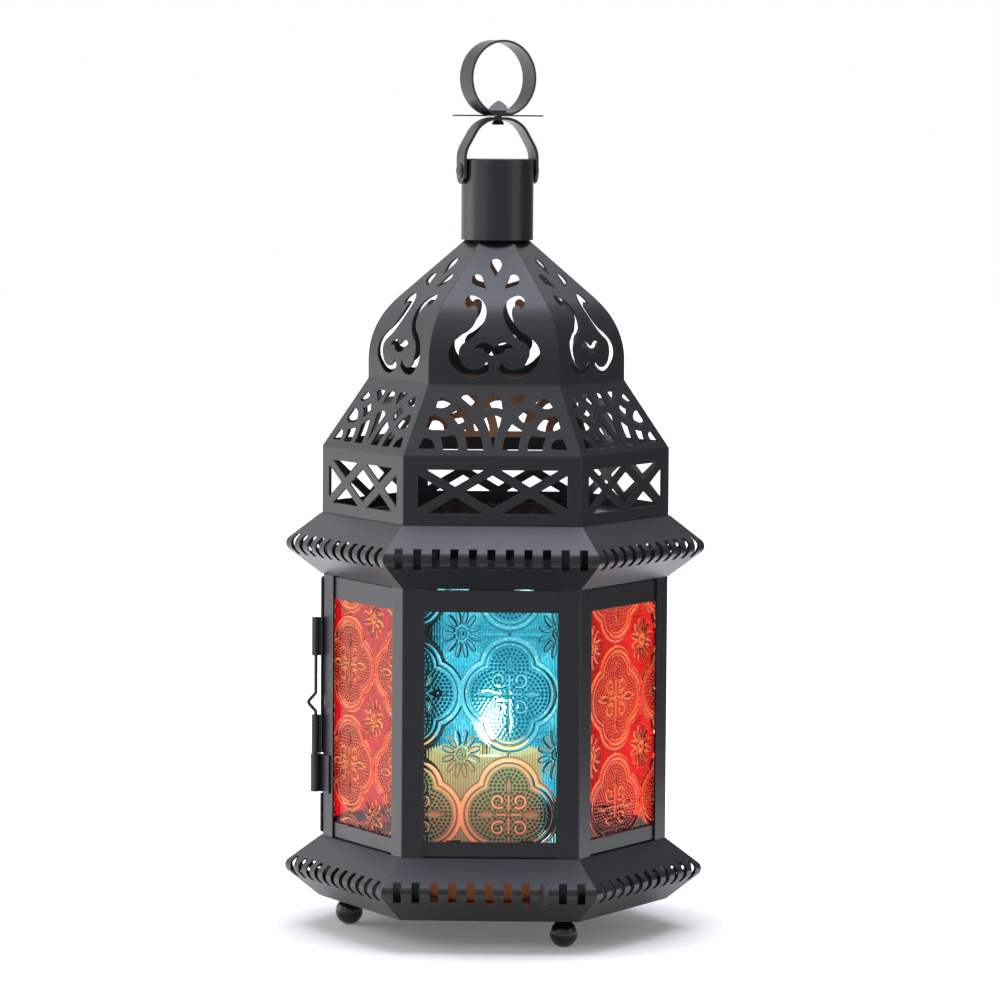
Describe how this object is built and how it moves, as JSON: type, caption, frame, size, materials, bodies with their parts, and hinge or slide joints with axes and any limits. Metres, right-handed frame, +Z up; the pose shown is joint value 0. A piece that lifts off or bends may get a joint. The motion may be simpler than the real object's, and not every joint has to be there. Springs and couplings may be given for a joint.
{
  "type": "candle lantern",
  "caption": "Six-sided metal candle lantern with figured glass panes, a hinged and bolted door, a pierced domed roof and a swivelling ring to hang it by.",
  "frame": {"origin": "on the lantern's axis, at the level of the three feet's flats", "axes": "+Z up along the lantern's axis, -Y out of the front glass face, +X to the viewer's right"},
  "size_m": [0.1458, 0.1264, 0.3092],
  "materials": {
    "black_paint": "satin black paint",
    "blue_glass": "pressed figured glass, greenish blue",
    "red_glass": "pressed figured glass, red",
    "amber_glass": "pressed figured glass, amber",
    "wax": "ivory wax",
    "wick": "charred braided cotton"
  },
  "bodies": {
    "body": {"lower_skirt": "black_paint", "floor_plate": "black_paint", "upper_skirt": "black_paint", "ball_foot_left": "black_paint", "ball_foot_front_right": "black_paint", "ball_foot_back_right": "black_paint", "foot_rivets": "black_paint", "corner_post_right": "black_paint", "corner_post_back_right": "black_paint", "corner_post_front_left": "black_paint", "corner_post_front_right": "black_paint", "hinge_post": "black_paint", "latch_post": "black_paint", "top_rail": "black_paint", "bottom_rail": "black_paint", "pane_front": "blue_glass", "pane_front_right": "red_glass", "pane_back_right": "amber_glass", "pane_back": "blue_glass", "pane_front_left": "red_glass", "pane_clips": "black_paint", "frame_hinge_leaves": "black_paint", "hinge_pins": "black_paint", "latch_keeper": "black_paint", "roof_panel_front": "black_paint", "roof_panel_front_right": "black_paint", "roof_panel_back_right": "black_paint", "roof_panel_back": "black_paint", "roof_panel_front_left": "black_paint", "roof_panel_back_left": "black_paint", "collar": "black_paint", "collar_base": "black_paint", "bail_rivets": "black_paint"},
    "door": {"door_frame": "black_paint", "door_pane": "amber_glass", "door_pane_clips": "black_paint", "door_hinge_leaves": "black_paint", "lower_latch_guide": "black_paint", "upper_latch_guide": "black_paint"},
    "latch_bolt": {"latch_bolt": "black_paint"},
    "bail": {"bail": "black_paint"},
    "ring": {"hanging_ring": "black_paint", "rosette": "black_paint", "swivel_rivet": "black_paint"},
    "candle": {"candle_wax": "wax", "candle_wick": "wick"}
  },
  "joints": [
    {"name": "door_swing", "type": "hinge", "parent": "body", "child": "door", "pos_m": [-0.03119, 0.05402, 0.0773], "axis": [0, 0, -1], "range_deg": [0, 150]},
    {"name": "latch_bolt_lift", "type": "slide", "parent": "door", "child": "latch_bolt", "axis": [0, 0, 1], "range_m": [0, 0.013]},
    {"name": "bail_swing", "type": "hinge", "parent": "body", "child": "bail", "pos_m": [0, 0, 0.26391], "axis": [0.9272, 0.3746, 0], "range_deg": [-95, 95]},
    {"name": "ring_swivel", "type": "hinge", "parent": "bail", "child": "ring", "pos_m": [0, 0, 0.282], "axis": [0, 0, 1], "continuous": true},
    {"name": "candle_lift", "type": "slide", "parent": "body", "child": "candle", "axis": [0, 0, 1], "range_m": [0, 0.024]}
  ]
}
